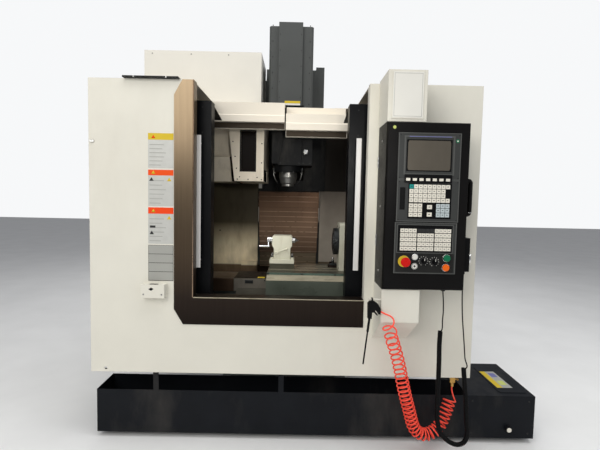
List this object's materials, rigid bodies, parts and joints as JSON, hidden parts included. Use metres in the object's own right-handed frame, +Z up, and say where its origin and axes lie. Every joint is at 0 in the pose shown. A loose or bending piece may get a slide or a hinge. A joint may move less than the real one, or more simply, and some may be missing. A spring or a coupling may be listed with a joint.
{
  "type": "cnc machining center",
  "caption": "Vertical machining centre with sliding doors open, telescopic way covers, tailstock and rotary table on the table, tool drum, pillar control and coiled air hose",
  "frame": {"origin": "centre of the machine's footprint at floor level, cords left out", "axes": "+X to the operator's right, +Y from the doors to the rear, +Z up"},
  "size_m": [2.484, 2.3207, 2.605],
  "materials": {
    "casting": "painted grey-green",
    "panel_paint": "cream paint",
    "chamber_paint": "worn cream paint",
    "grey_paint": "grey paint",
    "steel": "machined",
    "brushed": "brushed, reflecting brown",
    "control_paint": "black, fine texture",
    "unit_plastic": "grey membrane",
    "brass": "turned",
    "dark_plastic": "black",
    "tank_paint": "near-black paint",
    "hose": "coral",
    "cord_rubber": "black",
    "door_paint": "charcoal paint",
    "window": "safety glass",
    "handle_paint": "white",
    "cover_steel": "stained steel sheet",
    "table_iron": "ground, oiled",
    "pale_paint": "pale green-white",
    "chrome": "polished",
    "dark_iron": "dark, machined",
    "head_paint": "dark grey",
    "cover_paint": "slate grey",
    "red_plastic": "red",
    "green_plastic": "green",
    "orange_plastic": "orange"
  },
  "bodies": {
    "machine": {"machine_base": "casting", "levelling_feet": "steel", "column": "casting", "front_panel": "panel_paint", "door_surround": "brushed", "side_panels": "panel_paint", "roof_panel": "panel_paint", "chamber_liner": "chamber_paint", "chip_pan": "grey_paint", "control_pillar": "panel_paint", "control_housing": "control_paint", "display_unit": "unit_plastic", "keypad_unit": "unit_plastic", "operator_panel": "unit_plastic", "air_fitting": "brass", "pendant": "dark_plastic", "magazine_housing": "panel_paint", "magazine_guard": "chamber_paint", "coolant_tank": "tank_paint", "electrical_cabinet": "panel_paint", "air_gun": "dark_plastic", "air_hose_coil": "hose", "air_hose_leads": "hose", "pendant_cord_coils": "cord_rubber", "pendant_cord_leads": "cord_rubber", "holder_box": "panel_paint"},
    "door_left": {"door_left": "door_paint", "door_left_glass": "window", "door_left_handle": "handle_paint"},
    "door_right": {"door_right": "door_paint", "door_right_glass": "window", "door_right_handle": "handle_paint"},
    "saddle": {"saddle": "grey_paint"},
    "table": {"table": "table_iron", "tailstock": "pale_paint", "rotary_table": "pale_paint"},
    "quill": {"tail_quill": "steel"},
    "handwheel": {"tail_handwheel": "chrome"},
    "faceplate": {"faceplate": "dark_iron"},
    "head": {"head_casting": "head_paint", "head_cover": "cover_paint"},
    "spindle": {"spindle": "steel"},
    "drum": {"tool_drum": "steel"},
    "cabinet_door": {"cabinet_door": "panel_paint"},
    "stop_button": {"stop_button": "red_plastic"},
    "start_button": {"start_button": "green_plastic"},
    "hold_button": {"hold_button": "orange_plastic"},
    "mode_selector": {"mode_selector": "dark_plastic"},
    "feed_selector": {"feed_selector": "dark_plastic"},
    "pendant_wheel": {"pendant_wheel": "chrome"},
    "gun_trigger": {"gun_trigger": "dark_plastic"},
    "x_cover_left_1": {"x_cover_left_1": "cover_steel"},
    "x_cover_left_2": {"x_cover_left_2": "cover_steel"},
    "x_cover_right_1": {"x_cover_right_1": "cover_steel"},
    "x_cover_right_2": {"x_cover_right_2": "cover_steel"},
    "y_cover_front": {"y_cover_front": "cover_steel"},
    "y_cover_rear": {"y_cover_rear": "cover_steel"},
    "z_cover_1": {"z_cover_1": "cover_steel"},
    "z_cover_2": {"z_cover_2": "cover_steel"},
    "z_cover_3": {"z_cover_3": "cover_steel"}
  },
  "joints": [
    {"name": "door_left_slide", "type": "slide", "parent": "machine", "child": "door_left", "axis": [1, 0, 0], "range_m": [0, 0.385]},
    {"name": "door_right_slide", "type": "slide", "parent": "machine", "child": "door_right", "axis": [-1, 0, 0], "range_m": [0, 0.385]},
    {"name": "saddle_slide", "type": "slide", "parent": "machine", "child": "saddle", "axis": [0, 1, 0], "range_m": [0, 0.4]},
    {"name": "table_slide", "type": "slide", "parent": "saddle", "child": "table", "axis": [-1, 0, 0], "range_m": [-0.01, 0.59]},
    {"name": "x_cover_left_1_slide", "type": "slide", "parent": "saddle", "child": "x_cover_left_1", "axis": [-1, 0, 0], "range_m": [-0.004, 0.197]},
    {"name": "x_cover_left_2_slide", "type": "slide", "parent": "saddle", "child": "x_cover_left_2", "axis": [-1, 0, 0], "range_m": [-0.007, 0.394]},
    {"name": "x_cover_right_1_slide", "type": "slide", "parent": "saddle", "child": "x_cover_right_1", "axis": [-1, 0, 0], "range_m": [-0.004, 0.197]},
    {"name": "x_cover_right_2_slide", "type": "slide", "parent": "saddle", "child": "x_cover_right_2", "axis": [-1, 0, 0], "range_m": [-0.007, 0.394]},
    {"name": "y_cover_front_slide", "type": "slide", "parent": "machine", "child": "y_cover_front", "axis": [0, 1, 0], "range_m": [0, 0.2]},
    {"name": "y_cover_rear_slide", "type": "slide", "parent": "machine", "child": "y_cover_rear", "axis": [0, 1, 0], "range_m": [0, 0.2]},
    {"name": "head_slide", "type": "slide", "parent": "machine", "child": "head", "axis": [0, 0, 1], "range_m": [-0.4, 0.06]},
    {"name": "z_cover_1_slide", "type": "slide", "parent": "machine", "child": "z_cover_1", "axis": [0, 0, 1], "range_m": [-0.1, 0.015]},
    {"name": "z_cover_2_slide", "type": "slide", "parent": "machine", "child": "z_cover_2", "axis": [0, 0, 1], "range_m": [-0.2, 0.03]},
    {"name": "z_cover_3_slide", "type": "slide", "parent": "machine", "child": "z_cover_3", "axis": [0, 0, 1], "range_m": [-0.3, 0.045]},
    {"name": "spindle_spin", "type": "hinge", "parent": "head", "child": "spindle", "pos_m": [-0.192, -0.1815, 1.5], "axis": [0, 0, 1], "continuous": true},
    {"name": "handwheel_spin", "type": "hinge", "parent": "table", "child": "handwheel", "pos_m": [-0.302, -0.3815, 1.083], "axis": [1, 0, 0], "range_deg": [0, 2880]},
    {"name": "quill_slide", "type": "slide", "parent": "table", "child": "quill", "axis": [1, 0, 0], "range_m": [0, 0.041]},
    {"name": "faceplate_spin", "type": "hinge", "parent": "table", "child": "faceplate", "pos_m": [0.154, -0.3815, 1.083], "axis": [1, 0, 0], "continuous": true},
    {"name": "drum_spin", "type": "hinge", "parent": "machine", "child": "drum", "pos_m": [-0.882, 0.0685, 1.99], "axis": [0, 1, 0], "continuous": true},
    {"name": "cabinet_door_swing", "type": "hinge", "parent": "machine", "child": "cabinet_door", "pos_m": [-0.769, 1.1235, 1.2], "axis": [0, 0, 1], "range_deg": [0, 110]},
    {"name": "stop_button_press", "type": "slide", "parent": "machine", "child": "stop_button", "axis": [0, 1, 0], "range_m": [0, 0.008], "stiffness_N_per_m": 900},
    {"name": "start_button_press", "type": "slide", "parent": "machine", "child": "start_button", "axis": [0, 1, 0], "range_m": [0, 0.0025], "stiffness_N_per_m": 900},
    {"name": "hold_button_press", "type": "slide", "parent": "machine", "child": "hold_button", "axis": [0, 1, 0], "range_m": [0, 0.0025], "stiffness_N_per_m": 900},
    {"name": "mode_selector_turn", "type": "hinge", "parent": "machine", "child": "mode_selector", "pos_m": [0.5, -1.1155, 1.07], "axis": [0, 1, 0], "range_deg": [-60, 60]},
    {"name": "feed_selector_turn", "type": "hinge", "parent": "machine", "child": "feed_selector", "pos_m": [0.553, -1.1155, 1.067], "axis": [0, 1, 0], "range_deg": [-135, 135]},
    {"name": "pendant_wheel_spin", "type": "hinge", "parent": "machine", "child": "pendant_wheel", "pos_m": [0.746, -1.0315, 1.073], "axis": [1, 0, 0], "continuous": true},
    {"name": "gun_trigger_squeeze", "type": "hinge", "parent": "machine", "child": "gun_trigger", "pos_m": [0.266, -1.0975, 0.816], "axis": [0, -1, 0], "range_deg": [0, 6], "stiffness_Nm_per_rad": 2}
  ],
  "couplings": [
    {"joint": "x_cover_left_1_slide", "follows": "table_slide", "ratio": 0.33333},
    {"joint": "x_cover_left_2_slide", "follows": "table_slide", "ratio": 0.66667},
    {"joint": "x_cover_right_1_slide", "follows": "table_slide", "ratio": 0.33333},
    {"joint": "x_cover_right_2_slide", "follows": "table_slide", "ratio": 0.66667},
    {"joint": "y_cover_front_slide", "follows": "saddle_slide", "ratio": 0.5},
    {"joint": "y_cover_rear_slide", "follows": "saddle_slide", "ratio": 0.5},
    {"joint": "z_cover_1_slide", "follows": "head_slide", "ratio": 0.25},
    {"joint": "z_cover_2_slide", "follows": "head_slide", "ratio": 0.5},
    {"joint": "z_cover_3_slide", "follows": "head_slide", "ratio": 0.75},
    {"joint": "quill_slide", "follows": "handwheel_spin", "m_per_rad": 0.0008}
  ]
}
